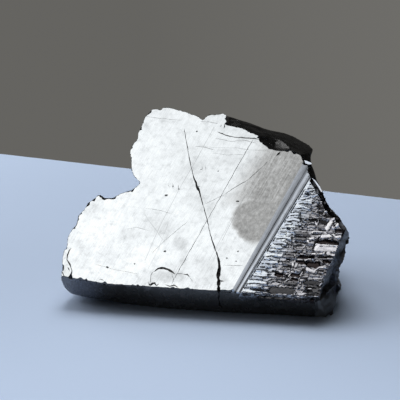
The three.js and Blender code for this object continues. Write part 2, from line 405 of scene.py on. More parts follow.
# gaps between plates: their low silver is painted shade in the hollows
GAPS = [
    ([(12.9, 16.9), (14.0, 16.9)], 0.27, 0.12), ([(14.9, 16.8), (16.0, 16.5)], 0.5, 0.12),
    ([(12.7, 15.9), (13.7, 15.9)], 0.13, 0.12), ([(13.6, 13.75), (15.3, 13.8)], 0.15, 0.07),
    ([(14.6, 14.8), (15.8, 14.7)], 0.15, 0.1), ([(9.9, 13.1), (12.6, 13.1)], 0.13, 0.1),
    ([(10.1, 11.85), (12.2, 11.75)], 0.15, 0.1), ([(10.4, 11.0), (11.4, 11.1)], 0.2, 0.12),
    ([(9.8, 9.5), (12.4, 9.45)], 0.14, 0.09), ([(14.7, 13.0), (13.9, 11.6), (13.6, 10.4)], 0.14, 0.12),
    ([(13.8, 9.85), (14.6, 9.9)], 0.16, 0.1), ([(15.1, 9.92), (16.2, 9.95)], 0.15, 0.08),
    ([(12.2, 11.1), (13.5, 11.1)], 0.12, 0.12), ([(8.6, 7.85), (10.0, 7.85)], 0.11, 0.12),
    ([(8.0, 6.3), (9.6, 6.25)], 0.12, 0.1), ([(6.2, 1.7), (8.0, 1.7)], 0.14, 0.1),
    ([(8.3, 14.7), (8.8, 14.6)], 0.25, 0.16), ([(6.0, 5.1), (6.9, 5.0)], 0.2, 0.15),
    ([(11.9, 5.9), (12.1, 5.0)], 0.16, 0.1), ([(12.6, 3.2), (14.4, 3.3)], 0.5, 0.2),
    ([(12.3, 1.1), (13.8, 1.3)], 0.18, 0.1), ([(15.1, 5.85), (15.9, 5.8)], 0.14, 0.1),
    ([(1.9, 0.95), (5.6, 1.0)], 0.16, 0.14), ([(13.4, 25.0), (14.5, 23.4), (15.4, 22.2)], 0.25, 0.1),
    ([(11.8, 22.8), (12.4, 22.7)], 0.18, 0.2), ([(14.4, 20.0), (15.6, 19.8)], 0.35, 0.14),
    ([(14.2, 18.6), (15.2, 18.7)], 0.25, 0.12), ([(16.0, 18.0), (17.2, 17.9)], 0.3, 0.1),
    ([(15.9, 21.0), (16.6, 20.0), (17.6, 18.6)], 0.5, 0.1), ([(16.7, 13.75), (17.4, 13.7)], 0.12, 0.2),
    ([(8.4, 4.5), (8.9, 4.2)], 0.16, 0.1), ([(16.0, 3.6), (16.1, 1.0)], 0.3, 0.12),
]
# Long splinters that start at the crack.
SPLINTERS = [
    ([(0.2, 1.25), (1.6, 1.25)], 0.24, 0.62), ([(1.9, 1.38), (4.4, 1.5)], 0.15, 0.75),
    ([(1.5, 2.35), (3.2, 2.5), (4.7, 2.3)], 0.42, 0.97), ([(1.7, 3.15), (3.9, 3.15)], 0.19, 0.8),
    ([(2.5, 3.95), (4.8, 3.9)], 0.33, 0.92), ([(2.4, 4.72), (3.7, 4.78)], 0.1, 0.85),
    ([(2.8, 5.3), (4.5, 5.35)], 0.24, 0.74), ([(3.4, 6.05), (5.7, 6.0)], 0.27, 0.82),
    ([(3.8, 6.8), (6.6, 6.95)], 0.34, 0.92), ([(4.1, 7.55), (5.1, 7.6)], 0.18, 0.85),
    ([(4.6, 8.4), (5.8, 8.65), (7.4, 8.5)], 0.42, 1.0), ([(4.9, 9.4), (6.5, 9.45)], 0.18, 0.78),
    ([(5.2, 10.2), (7.4, 10.3)], 0.25, 0.88), ([(5.9, 11.2), (7.1, 11.4), (8.1, 11.2)], 0.38, 0.86),
    ([(6.3, 12.4), (8.0, 12.6), (9.0, 12.4)], 0.32, 0.93), ([(7.0, 13.3), (8.0, 13.35)], 0.13, 0.7),
    ([(7.0, 13.95), (9.6, 14.0)], 0.25, 0.88), ([(7.3, 14.7), (8.0, 14.75)], 0.25, 0.8),
    ([(7.8, 15.6), (9.0, 15.7)], 0.27, 0.98), ([(9.4, 15.6), (10.9, 15.7)], 0.22, 0.88),
    ([(8.2, 16.5), (9.4, 16.8), (10.5, 16.6)], 0.42, 0.85), ([(8.8, 17.85), (10.4, 18.0)], 0.32, 0.96),
    ([(9.3, 18.6), (11.8, 18.5)], 0.2, 0.72), ([(9.9, 19.4), (11.2, 19.75), (12.3, 19.4)], 0.28, 0.86),
    ([(10.3, 20.6), (11.4, 20.75), (12.8, 20.7)], 0.28, 0.92), ([(10.7, 21.5), (12.2, 21.9)], 0.28, 0.92),
    ([(11.2, 22.3), (12.0, 22.3)], 0.12, 0.8), ([(12.4, 22.1), (14.0, 22.7)], 0.17, 0.92),
    ([(11.3, 23.0), (11.9, 23.0)], 0.14, 0.8), ([(11.6, 23.5), (12.9, 23.6)], 0.22, 0.86),
    ([(12.0, 24.3), (13.0, 24.4)], 0.27, 0.92), ([(12.3, 25.2), (12.6, 25.6)], 0.27, 0.8),
]
PLATES = [
    # dull plates in the middle
    ([(8.0, 6.9), (9.5, 6.7)], 0.3, 0.42), ([(8.2, 8.3), (9.8, 8.4)], 0.33, 0.42),
    ([(10.1, 10.1), (11.3, 10.0)], 0.26, 0.56), ([(10.4, 12.4), (12.0, 12.4)], 0.36, 0.4),
    ([(10.2, 13.7), (12.2, 13.6)], 0.33, 0.42), ([(8.4, 2.6), (10.6, 2.6)], 0.33, 0.32),
    ([(10.2, 5.6), (11.3, 5.4)], 0.34, 0.58), ([(12.8, 5.8), (14.1, 5.4)], 0.6, 0.8),
    ([(13.3, 4.6), (14.8, 4.5)], 0.23, 0.6), ([(12.5, 10.3), (13.4, 10.3)], 0.28, 0.5),
    ([(12.7, 11.6), (13.6, 11.6)], 0.25, 0.66), ([(14.3, 15.4), (15.8, 15.2)], 0.3, 0.46),
    ([(6.9, 3.5), (8.4, 3.6)], 0.2, 0.36), ([(7.6, 5.7), (9.2, 5.8)], 0.28, 0.4),
    ([(13.2, 18.6), (14.2, 18.3)], 0.25, 0.5), ([(13.4, 20.0), (14.0, 20.4)], 0.22, 0.5),
    # bright ones
    ([(9.86, 6.3), (9.86, 7.0)], 0.2, 1.05), ([(10.3, 8.0), (10.15, 8.8)], 0.16, 0.95),
    ([(7.6, 8.3), (7.7, 9.1)], 0.11, 0.95), ([(8.2, 8.4), (8.2, 9.2)], 0.11, 0.9),
    ([(8.5, 10.4), (8.6, 10.8)], 0.12, 0.85), ([(9.0, 10.4), (9.15, 10.9)], 0.12, 0.8),
    ([(9.6, 10.4), (9.8, 11.0)], 0.1, 0.75), ([(11.2, 9.05), (12.5, 9.15)], 0.13, 0.9),
    ([(9.0, 14.45), (9.3, 14.5)], 0.24, 1.0), ([(10.9, 14.8), (11.1, 14.8)], 0.16, 0.9),
    ([(12.4, 15.15), (13.0, 15.5), (13.7, 15.2)], 0.26, 0.7), ([(12.0, 15.3), (12.3, 16.4)], 0.11, 0.75),
    ([(13.2, 17.55), (14.3, 17.4), (14.45, 16.6), (14.1, 15.6)], 0.17, 0.76),
    ([(13.8, 16.4), (14.1, 15.7)], 0.22, 0.9), ([(15.1, 17.6), (16.9, 17.1)], 0.19, 0.6),
    ([(16.2, 15.0), (17.0, 16.5)], 0.55, 1.0), ([(17.1, 16.9), (17.8, 17.7)], 0.28, 0.9),
    ([(17.5, 15.3), (18.6, 16.4)], 0.45, 1.0), ([(13.4, 14.15), (15.3, 14.2)], 0.13, 0.97),
    ([(13.25, 13.8), (13.35, 14.1)], 0.18, 1.0), ([(16.2, 14.3), (17.4, 14.3)], 0.1, 0.66),
    ([(15.4, 13.2), (17.6, 13.6)], 0.55, 0.94), ([(16.4, 12.75), (18.4, 12.55)], 0.11, 0.74),
    ([(17.3, 13.6), (18.2, 12.95)], 0.13, 0.66), ([(18.2, 13.2), (19.3, 13.5)], 0.4, 0.9),
    ([(18.5, 14.1), (19.3, 14.0)], 0.17, 0.76), ([(14.5, 10.4), (18.3, 10.5)], 0.85, 0.84),
    ([(14.2, 10.2), (14.8, 11.2)], 0.42, 1.02), ([(14.8, 11.25), (18.7, 11.3)], 0.2, 0.95),
    ([(18.3, 10.3), (18.6, 10.9)], 0.2, 1.0), ([(13.7, 12.75), (12.9, 12.5), (12.5, 12.0)], 0.36, 1.0),
    ([(12.1, 11.15), (11.75, 10.5)], 0.15, 1.03), ([(14.45, 13.1), (14.3, 12.6)], 0.12, 0.92),
    ([(13.4, 9.25), (15.0, 9.3), (15.9, 9.5)], 0.2, 1.0), ([(16.6, 9.4), (17.9, 9.2)], 0.42, 0.84),
    ([(16.5, 8.3), (17.6, 8.5)], 0.19, 0.72), ([(12.15, 7.7), (12.7, 8.0), (14.1, 8.15)], 0.15, 0.98),
    ([(13.0, 8.75), (14.0, 8.9)], 0.08, 0.5), ([(15.1, 7.9), (15.7, 7.4)], 0.23, 0.56),
    ([(16.2, 7.3), (17.1, 6.9)], 0.18, 0.66), ([(17.1, 6.3), (17.2, 6.9)], 0.14, 0.85),
    ([(14.3, 5.7), (15.0, 6.35), (16.3, 6.45)], 0.2, 0.92), ([(15.4, 5.3), (15.8, 5.3)], 0.2, 0.7),
    ([(14.7, 5.6), (14.75, 4.8), (15.3, 4.4), (16.0, 4.6)], 0.13, 0.76),
    ([(15.2, 2.4), (15.7, 3.1)], 0.13, 0.86), ([(15.3, 1.8), (15.6, 1.8)], 0.11, 0.6),
    ([(8.3, 5.1), (9.3, 5.2), (9.42, 4.5), (9.1, 4.0)], 0.14, 1.03),
    ([(9.25, 5.2), (9.25, 5.6)], 0.12, 0.9), ([(8.1, 4.1), (8.8, 4.6)], 0.1, 0.9),
    ([(8.5, 2.9), (8.9, 3.3), (9.6, 3.55)], 0.13, 0.97),
    ([(7.4, 3.65), (7.7, 3.65)], 0.13, 0.75), ([(8.15, 3.6), (8.3, 3.7)], 0.14, 0.7),
    ([(11.8, 5.2), (11.5, 4.5), (11.2, 3.6), (11.1, 3.0)], 0.13, 0.85),
    ([(11.9, 3.3), (11.5, 2.6), (11.6, 2.2)], 0.12, 0.88), ([(11.15, 1.75), (11.4, 2.2)], 0.1, 0.8),
    ([(11.8, 4.2), (12.9, 4.2)], 0.1, 0.78), ([(12.2, 3.5), (12.4, 3.5)], 0.13, 0.82),
    ([(12.35, 2.2), (12.6, 1.8)], 0.15, 1.03), ([(12.9, 1.65), (13.7, 1.7)], 0.12, 0.98),
    ([(10.2, 1.8), (10.6, 1.65)], 0.12, 0.74), ([(13.9, 21.0), (15.0, 21.05)], 0.13, 0.97),
    ([(12.5, 19.3), (12.6, 19.8)], 0.11, 0.85), ([(12.8, 19.3), (13.1, 19.9)], 0.11, 0.92),
    ([(14.4, 22.1), (14.8, 22.7)], 0.12, 0.82), ([(14.4, 21.6), (14.9, 21.9)], 0.1, 0.66),
    ([(15.4, 18.4), (15.6, 18.9), (16.1, 18.9)], 0.14, 0.98), ([(16.0, 19.3), (16.1, 19.8)], 0.12, 0.76),
    ([(15.0, 19.2), (15.6, 19.3)], 0.11, 0.66), ([(15.2, 18.0), (15.7, 18.3)], 0.13, 0.55),
    ([(11.3, 16.4), (12.0, 17.2), (12.6, 17.0)], 0.11, 0.6), ([(12.9, 17.1), (14.0, 17.3)], 0.08, 0.5),
]
# thin slits: their low silver is painted shade
SLITS = [
    ([(17.6, 15.5), (17.95, 16.2)], 0.1, 0.1), ([(14.3, 9.35), (14.5, 9.35)], 0.07, 0.3),
    ([(16.9, 13.9), (17.6, 13.2)], 0.07, 0.3), ([(12.6, 12.4), (13.2, 12.0)], 0.06, 0.5),
]
# The bright broken edge at the corner's foot.
FOOT_EDGE = [
    ([(0.15, 0.5), (1.4, 0.4), (2.7, 0.35)], 0.32, 1.0), ([(2.9, 0.45), (5.6, 0.25)], 0.13, 0.75),
    ([(6.9, 0.1), (8.2, 0.22), (9.6, 0.1), (10.6, 0.3)], 0.13, 0.85),
    ([(11.6, 0.12), (12.8, 0.18)], 0.09, 0.7), ([(13.2, 0.1), (15.2, 0.2)], 0.1, 0.85),
    ([(10.5, 0.5), (10.8, 0.9)], 0.12, 0.7),
]
# the hollow at the corner's foot: its low silver is painted shade
FOOT_HOLLOW = ([(6.2, 1.05), (8.0, 1.0), (9.9, 1.1)], 0.78, 0.22)


def off_line(along, up, points):
    """How far each place is from a line through points, and how far above it."""
    away, above = np.full(along.shape, 99.0), np.zeros(along.shape)
    for (a0, u0), (a1, u1) in zip(points, points[1:]):
        da, du = a1 - a0, u1 - u0
        share = np.clip(((along - a0) * da + (up - u0) * du) / (da * da + du * du), 0, 1)
        off = np.hypot(along - a0 - share * da, up - u0 - share * du)
        above = np.where(off < away, up - u0 - share * du, above)
        away = np.minimum(away, off)
    return away, above


def lay(surface, along, up, pieces, level, rusty=0.0):
    """Lays plates on the corner, or presses hollows into it, at that level; their silver carries painted
    shade.
    """
    h, silver, rust = surface
    for points, half, silver_and_painted_shade in pieces:
        ends = np.array(points)
        low, high = ends.min(0) - 1.6 * half, ends.max(0) + 1.6 * half
        near = (along > low[0]) & (along < high[0]) & (up > low[1]) & (up < high[1])
        a, u = along[near], up[near]
        away, above = off_line(a, u, points)
        ragged = 0.2 * waves(a / 0.5, u / 0.25, 38) + 0.1 * waves(a / 0.2, u / 0.14, 39)
        top = 1 - smooth(away / half + ragged, 0.72, 1.12)
        grain = 1 + 0.14 * waves(a / 0.8, u / 0.17, 40)
        # painted shade: each bright plate is painted darker towards its lower edge
        if silver_and_painted_shade > 0.35:
            grain *= 0.72 + 0.28 * smooth(above / half, -1.0, -0.2)
        h[near] += top * (level - 0.1 * half * (away / half) ** 2 - h[near])
        silver[near] += top * (silver_and_painted_shade * grain - silver[near])
        rust[near] += top * (rusty - rust[near])


def corner(along, up):
    """The splintered corner: its height in millimetres, how silver it is, with painted shade in its grooves
    and hollows, and how rusty.
    """
    step = along - line_at(CRACK_LINE, up)
    v = up - 0.03 * along
    s = along
    # thin plates beside the crack, then duller and more broken ones
    c1, c2, long_side, short_side = bricks(s, v, 0.6, 2.2, 11)
    fade = smooth(step + 1.0 * waves(s / 1.6, v / 0.6, 31), 1.8, 4.2)
    right = smooth(step + 1.2 * waves(s / 2.2, v / 1.2, 36), 4.0, 7.0)
    lines = np.maximum(groove(long_side, 0.12), 0.5 * fade * groove(short_side, 0.1))
    lines *= smooth(step, 0.2, 0.9)
    broken = 0.25 + 0.75 * fade
    h = -0.2 - 0.1 * c1 * broken - 0.14 * lines * (0.35 + 0.65 * fade) - 0.12 * fade - 0.1 * right
    cloud = waves(s / 1.5, v / 0.5, 32) + 0.5 * waves(s / 0.5, v / 0.2, 33)
    silver = (0.93 + 0.16 * cloud + 0.06 * c2) * (1 - fade) + (0.53 + 0.25 * c2) * fade
    # painted shade: darker in the grooves between plates
    silver *= 1 - 0.32 * lines
    silver *= 1 + 0.2 * waves(s / 0.6, v / 0.2, 34)
    low_right = smooth(along, 12.0, 13.2) * (1 - smooth(up, 2.6, 4.6))
    silver *= 1 - 0.6 * low_right
    rust = 0.35 * right * smooth(waves(s / 1.6, v / 0.8, 37), 0.0, 0.6)
    # a thin bright edge that runs beside the crack
    edge = (1 - smooth(np.abs(step - 0.26), 0.04, 0.1)) * smooth(waves(up / 1.1, 0 * up, 43), -0.5, 0.1)
    h += edge * (-0.12 - h)
    silver += edge * (0.7 - silver)
    surface = h, silver, rust
    lay(surface, along, up, RUSTY_POCKETS, -0.95, 1.0)
    lay(surface, along, up, GAPS, -0.6)
    lay(surface, along, up, SPLINTERS, -0.1)
    lay(surface, along, up, PLATES, -0.12)
    lay(surface, along, up, SLITS, -0.5)
    lay(surface, along, up, [FOOT_HOLLOW], -0.6)
    lay(surface, along, up, FOOT_EDGE, -0.15)
    return surface


# The bevel, its grooves and its crest: shares of the ridge and heights in millimetres.
BEVEL_PROFILE = (
    [0, 0.38, 0.5, 0.6, 0.8, 0.93],
    [-0.005, -0.055, -0.11, -0.07, -0.07, -0.12],
)


def relief(along, up):
    """Height of the ridge and the corner against the face plane, in millimetres."""
    share = ridge_share(along, up)
    bevel = np.interp(share, *BEVEL_PROFILE)
    bevel += 0.009 * np.cos(share * 2 * math.pi / 0.13) * smooth(share, 0.1, 0.5)
    step = along - line_at(CRACK_LINE, up)
    h = np.where(step > 0.05, corner(along, up)[0], bevel)
    return np.where(np.abs(step - 0.02) < 0.05, -0.3, h)


RELIEF_UP = (-1.5, 32.0)
RELIEF_GRAIN = 0.125


def relief_columns():
    """Places of the tool's columns: shares of the ridge, then millimetres right of the crack."""
    beside = np.concatenate([[0.0, 0.04, 0.1, 0.18], np.arange(0.26, 21.0, RELIEF_GRAIN)])
    return np.linspace(0.0, 0.94, 23), beside


def relief_tool():
    """A block whose underside is the negative of the corner; its columns run along the ridge."""
    deselect()
    ridge, beside = relief_columns()
    columns = len(ridge) + len(beside)
    rows = round((RELIEF_UP[1] - RELIEF_UP[0]) / RELIEF_GRAIN)
    bpy.ops.mesh.primitive_grid_add(x_subdivisions=columns - 1, y_subdivisions=rows, size=1)
    o = bpy.context.object
    co = coordinates(o) + 0.5
    up = RELIEF_UP[0] + co[:, 1] * (RELIEF_UP[1] - RELIEF_UP[0])
    column = np.round(co[:, 0] * (columns - 1)).astype(int)
    left, right = line_at(BEVEL_LINE, up), line_at(CRACK_LINE, up)
    in_ridge = column < len(ridge)
    along = np.where(
        in_ridge,
        left + (right - left) * ridge[np.minimum(column, len(ridge) - 1)],
        right + beside[np.maximum(column - len(ridge), 0)],
    )
    h = relief(along, up)
    p = np.array(LIP) + MM * (
        np.outer(along, ALONG) + np.outer(up, UP) + np.outer(h, OUT)
    )
    o.matrix_world = Matrix.Identity(4)
    set_coordinates(o, p)
    edit(o)
    bpy.ops.mesh.extrude_region_move(TRANSFORM_OT_translate={"value": OUT * 5 * MM})
    bpy.ops.mesh.select_all(action="SELECT")
    bpy.ops.mesh.normals_make_consistent(inside=False)
    leave()
    return o


# Small flat ledges on the right flank: their outline and their level against the face.
LEDGES = [
    ([(10.75, 31.0), (11.3, 30.9), (12.35, 30.45), (12.4, 30.1), (11.8, 30.05), (10.95, 30.3)], -0.55),
    ([(12.6, 26.75), (13.4, 26.15), (14.4, 24.75), (14.9, 23.7), (14.7, 23.5), (14.1, 24.55),
      (13.2, 25.95)], -0.45),
]
LEDGE_DEPTH = 2.5


def on_ledge(along, up, out):
    """Which places lie on a ledge's flat top."""
    found = np.zeros(along.shape, bool)
    for outline, level in LEDGES:
        low, high = np.min(outline, 0) - 0.01, np.max(outline, 0) + 0.01
        inside = (along > low[0]) & (along < high[0]) & (up > low[1]) & (up < high[1])
        found |= inside & (np.abs(out - level) < 0.01)
    return found


# ---------------------------------------------------------------- cracks
# Cracks as points of along, up, out and half width.
MAIN_CRACK = [
    (-15.5, 37.5, 0, 0.05), (-14.7, 34.4, 0, 0.06), (-13.7, 30.7, 0, 0.06), (-13.0, 28.3, 0, 0.07),
    (-12.0, 25.2, 0, 0.08), (-11.5, 24.0, 0, 0.14), (-11.1, 23.0, 0, 0.26), (-10.6, 22.1, 0, 0.16),
    (-10.0, 20.7, 0, 0.07), (-9.4, 18.9, 0, 0.062), (-8.2, 15.4, 0, 0.068), (-7.4, 12.8, 0, 0.072),
    (-6.3, 9.9, 0, 0.09), (-5.2, 7.1, 0, 0.11), (-4.8, 6.0, 0, 0.22), (-4.75, 4.0, 0, 0.27),
    (-4.6, 2.3, 0, 0.28), (-4.45, 0.4, 0, 0.3), (-4.4, -0.2, -0.45, 0.26), (-4.35, -0.95, -1.9, 0.2),
    (-4.2, -1.8, -3.3, 0.18), (-3.5, -2.2, -4.0, 0.14),
]
CRACKS = [
    MAIN_CRACK,
    [(-4.7, 2.35, 0, 0.16), (-4.0, 2.05, 0, 0.16), (-3.4, 2.15, 0, 0.08)],
    [(-11.2, 23.2, 0, 0.2), (-10.4, 23.3, 0, 0.09)],
    [(-35.6, 7.6, 0, 0.12), (-36.2, 5.8, 0, 0.16), (-35.9, 4.8, 0, 0.16), (-35.4, 4.1, 0, 0.14),
     (-34.8, 3.1, 0, 0.1), (-34.4, 2.3, 0, 0.14), (-34.5, 1.9, 0, 0.2), (-34.5, 1.0, 0, 0.36),
     (-34.6, 0.3, 0, 0.34),
     (-34.0, -0.3, -0.8, 0.2), (-33.2, -0.5, -2.2, 0.14)],
    [(-35.5, 3.2, 0, 0.1), (-35.1, 2.4, 0, 0.14)],
    [(-36.6, 2.2, 0, 0.2), (-36.2, 1.5, 0, 0.16), (-35.5, 0.8, 0, 0.2)],
    [(-11.9, 41.0, 0, 0.22), (-11.8, 39.6, 0, 0.12)],
    [(4.85, 31.45, 0, 0.16), (5.75, 32.5, 0, 0.24)],
    [(12.2, 26.7, -0.5, 0.2), (13.0, 25.5, -0.7, 0.24), (14.3, 23.4, -0.5, 0.2)],
]
# Nicks, chips and the deeper scratches: points of along and up, and a half width.
NICKS = [
    ([(-17.8, 3.4), (-17.1, 3.95), (-16.0, 4.2), (-15.0, 4.05), (-14.1, 3.45), (-13.4, 3.1)], 0.24),
    ([(-13.4, 3.1), (-12.4, 3.2), (-11.6, 3.15)], 0.06),
    ([(-11.6, 3.15), (-11.0, 3.05), (-10.5, 2.6)], 0.2),
    ([(-10.5, 2.6), (-9.8, 1.8)], 0.05),
    ([(-18.2, 0.6), (-18.3, 2.8), (-17.8, 3.4)], 0.04),
    ([(-14.1, 3.3), (-13.6, 1.8), (-13.9, 0.6)], 0.035),
    ([(-18.6, 0.9), (-18.3, 0.3), (-17.4, 1.0), (-16.9, 0.3), (-16.4, 0.8)], 0.17),
    ([(-15.2, 0.7), (-14.2, 0.3), (-13.4, 0.6), (-12.5, 0.2)], 0.15),
    ([(-28.6, 1.0), (-27.6, 0.7)], 0.09),
    ([(-30.0, 4.2), (-26.0, 3.3), (-21.0, 2.6)], 0.025),
    ([(-10.6, 28.3), (-10.3, 27.0)], 0.06),
    ([(-9.9, 28.2), (-9.7, 27.3)], 0.045),
    ([(-16.4, 23.7), (-16.1, 22.4)], 0.055),
    ([(-15.2, 23.5), (-14.9, 22.3)], 0.05),
    ([(-17.3, 23.4), (-16.9, 22.6)], 0.04),
    ([(-21.5, 17.5), (-18.5, 17.2), (-16.0, 16.6)], 0.03),
    ([(-25.0, 12.5), (-22.5, 13.0), (-20.0, 12.4)], 0.025),
    ([(-8.6, 35.3), (-5.0, 34.6), (-2.0, 35.0), (0.5, 34.4)], 0.04),
    ([(-8.2, 37.0), (-6.4, 36.1), (-4.2, 35.7), (-1.0, 35.6), (1.2, 35.4)], 0.13),
    ([(-7.5, 38.8), (-7.6, 38.1)], 0.09),
    ([(-6.8, 38.9), (-6.8, 37.7)], 0.11),
    ([(-12.2, 39.4), (-10.0, 39.3), (-8.2, 38.9)], 0.04),
    ([(-24.7, 40.2), (-21.1, 39.8), (-17.3, 39.5)], 0.03),
    ([(-12.6, 33.0), (-10.4, 32.9), (-8.2, 32.2)], 0.04),
    ([(-4.6, 33.2), (-0.5, 32.6), (3.0, 32.8)], 0.03),
    ([(-9.0, 31.5), (-5.2, 31.2), (-1.5, 31.6)], 0.025),
    ([(-0.3, 35.4), (-5.2, 23.1), (-13.7, 1.5)], 0.045),
    ([(3.3, 30.1), (-0.4, 25.5), (-4.1, 22.7), (-5.1, 21.7)], 0.055),
    ([(-5.1, 21.7), (-9.2, 19.1)], 0.035),
    ([(-12.3, 14.8), (-16.4, 10.4), (-18.7, 7.3)], 0.03),
    ([(-3.9, 5.6), (0.0, 5.8)], 0.035),
]


def wavering(points, step=0.4):
    """The same line with more points, each a little off it and a little wider or narrower."""
    line = np.array(points, float)
    walk = np.concatenate([[0], np.cumsum(np.linalg.norm(np.diff(line[:, :3], axis=0), axis=1))])
    at = np.linspace(0, walk[-1], max(3, round(walk[-1] / step)))
    along, up, out, half = (np.interp(at, walk, line[:, k]) for k in range(4))
    start = line[0, 0] * 3.7 + line[0, 1]
    shake = np.minimum(0.05 + 0.35 * half, 0.14)
    along = along + shake * waves(at / 0.7, start + 0 * at, 91)
    up = up + shake * waves(at / 0.7, start + 0 * at, 92)
    half = half * (1 + 0.55 * waves(at / 0.6, start + 0 * at, 93))
    ends = smooth(np.minimum(at, walk[-1] - at), -0.3, 0.8)
    return list(zip(along, up, out, half * ends))


def trenches(lines):
    """One tool that cuts a V-shaped crack along each line of (along, up, out, half width)."""
    curve = bpy.data.curves.new("cracks", "CURVE")
    curve.dimensions = "3D"
    curve.bevel_depth = MM
    curve.bevel_resolution = 0
    curve.use_fill_caps = True
    for line in lines:
        spline = curve.splines.new("POLY")
        spline.points.add(len(line) - 1)
        for p, (along, up, out, half) in zip(spline.points, line):
            p.co = (*on_face(along, up, out), 1)
            p.radius = half * 1.2
    o = bpy.data.objects.new("cracks", curve)
    bpy.context.scene.collection.objects.link(o)
    pick(o)
    bpy.ops.object.convert(target="MESH")
    o = bpy.context.object
    edit(o)
    bpy.ops.mesh.remove_doubles(threshold=1e-7)
    bpy.ops.mesh.normals_make_consistent(inside=False)
    leave()
    return o


def apart(one, other, gap=0.8):
    """Whether two lines keep at least that gap, in millimetres."""
    a, b = np.array(one)[:, None, :3], np.array(other)[None, :, :3]
    return np.linalg.norm(a - b, axis=2).min() > gap


def crack_tools():
    """Tools for all cracks and nicks; lines that meet go into different tools."""
    nicks = [[(along, up, 0, half) for along, up in points] for points, half in NICKS]
    sets = []
    for line in [wavering(line) for line in CRACKS + nicks]:
        room = next((s for s in sets if all(apart(line, other) for other in s)), None)
        if room is None:
            room = []
            sets.append(room)
        room.append(line)
    return [trenches(lines) for lines in sets]


def face_outline(stone):
    """The cleavage face's outline as points of along and up, in order."""
    me = stone.data
    co = coordinates(stone)
    ends = {}
    for p in me.polygons:
        if p.normal.dot(OUT) > 0.9999 and abs((p.center - LIP).dot(OUT)) < 0.005 * MM:
            for a, b in p.edge_keys:
                ends[a, b] = ends.get((a, b), 0) + 1
    beside = {}
    for (a, b), faces in ends.items():
        if faces == 1:
            beside.setdefault(a, []).append(b)
            beside.setdefault(b, []).append(a)
    loops, seen = [], set()
    for start in beside:
        if start in seen:
            continue
        loop, here = [], start
        while here is not None:
            seen.add(here)
            loop.append(here)
            here = next((v for v in beside[here] if v not in seen), None)
        loops.append(loop)
    loop = max(loops, key=len)
    along, up, _ = face_places(co[loop])
    return along, up


RIM_STEP = 0.35


def rim_chips(stone):
    """A tool that nicks the cleavage face's outline, in stretches."""
    along, up = face_outline(stone)
    walk = np.concatenate([[0], np.cumsum(np.hypot(np.diff(along), np.diff(up)))])
    at = np.arange(0, walk[-1], RIM_STEP)
    along, up = np.interp(at, walk, along), np.interp(at, walk, up)
    rough = 0.5 * waves(at / 1.1, 0 * at, 81) + 0.5 * waves(at / 0.45, 0 * at, 82)
    half = 0.05 + 0.42 * smooth(rough, 0.0, 0.75) ** 1.5
    half[(along > 9) & (up > 6)] = 0.05
    half = np.where((along > -4.0) & (along < -1.0) & (up < 1), 0.3, half)
    keep = (along < -1.0) | (up > 30)
    runs, run = [], []
    for a, u, w, k in zip(along, up, half, keep):
        if k:
            run.append((a, u, 0.0, w))
        elif run:
            runs.append(run)
            run = []
    runs.append(run)
    return trenches([run for run in runs if len(run) > 3])


# ---------------------------------------------------------------- nodes
def add(tree, kind, **settings):
    n = tree.nodes.new(kind)
    for name, value in settings.items():
        setattr(n, name, value)
    return n


def feed(tree, socket, value):
    if isinstance(value, bpy.types.NodeSocket):
        tree.links.new(value, socket)
    elif value is not None:
        socket.default_value = value


def math_node(tree, operation, *values, clamp=False):
    n = add(tree, "ShaderNodeMath", operation=operation, use_clamp=clamp)
    for socket, value in zip(n.inputs, values):
        feed(tree, socket, value)
    return n.outputs[0]


def vector_node(tree, operation, *values, out=0):
    n = add(tree, "ShaderNodeVectorMath", operation=operation)
    for socket, value in zip(n.inputs, values):
        feed(tree, socket, value)
    return n.outputs[out]


def ramp(tree, value, low, high, to_low=0.0, to_high=1.0, kind="SMOOTHSTEP"):
    n = add(tree, "ShaderNodeMapRange", interpolation_type=kind)
    for name, v in (("Value", value), ("From Min", low), ("From Max", high),
                    ("To Min", to_low), ("To Max", to_high)):
        feed(tree, n.inputs[name], v)
    return n.outputs["Result"]


def mixed(tree, share, a, b):
    n = add(tree, "ShaderNodeMix", data_type="RGBA")
    feed(tree, n.inputs["Factor"], share)
    feed(tree, n.inputs[6], a)
    feed(tree, n.inputs[7], b)
    return n.outputs[2]


def noise_node(tree, place, scale, detail, rough):
    n = add(tree, "ShaderNodeTexNoise")
    for name, v in (("Vector", place), ("Scale", scale), ("Detail", detail), ("Roughness", rough)):
        feed(tree, n.inputs[name], v)
    return n.outputs[0]


def add_xyz(tree, x, y):
    c = add(tree, "ShaderNodeCombineXYZ")
    for s, v in zip(c.inputs, (x, y)):
        feed(tree, s, v)
    return c.outputs[0]


def dot_up(tree, place):
    s = add(tree, "ShaderNodeSeparateXYZ")
    feed(tree, s.inputs[0], place)
    return s.outputs[1]


def vector_scale(tree, colour, share):
    n = add(tree, "ShaderNodeVectorMath", operation="SCALE")
    feed(tree, n.inputs[0], colour)
    feed(tree, n.inputs["Scale"], share)
    return n.outputs[0]


def times(tree, a, b):
    return math_node(tree, "MULTIPLY", a, b)


def new_group(name, inputs, outputs):
    """A shader group; inputs and outputs are {name: (socket type, default)}."""
    g = bpy.data.node_groups.new(name, "ShaderNodeTree")
    for label, (kind, default) in inputs.items():
        s = g.interface.new_socket(label, in_out="INPUT", socket_type=kind)
        s.default_value = default
    for label, kind in outputs.items():
        g.interface.new_socket(label, in_out="OUTPUT", socket_type=kind)
    return g, add(g, "NodeGroupInput"), add(g, "NodeGroupOutput")


def use(tree, group, **values):
    n = add(tree, "ShaderNodeGroup", node_tree=group)
    for name, value in values.items():
        feed(tree, n.inputs[name.replace("_", " ")], value)
    return n.outputs[0]


VECTOR, FLOAT = "NodeSocketVector", "NodeSocketFloat"


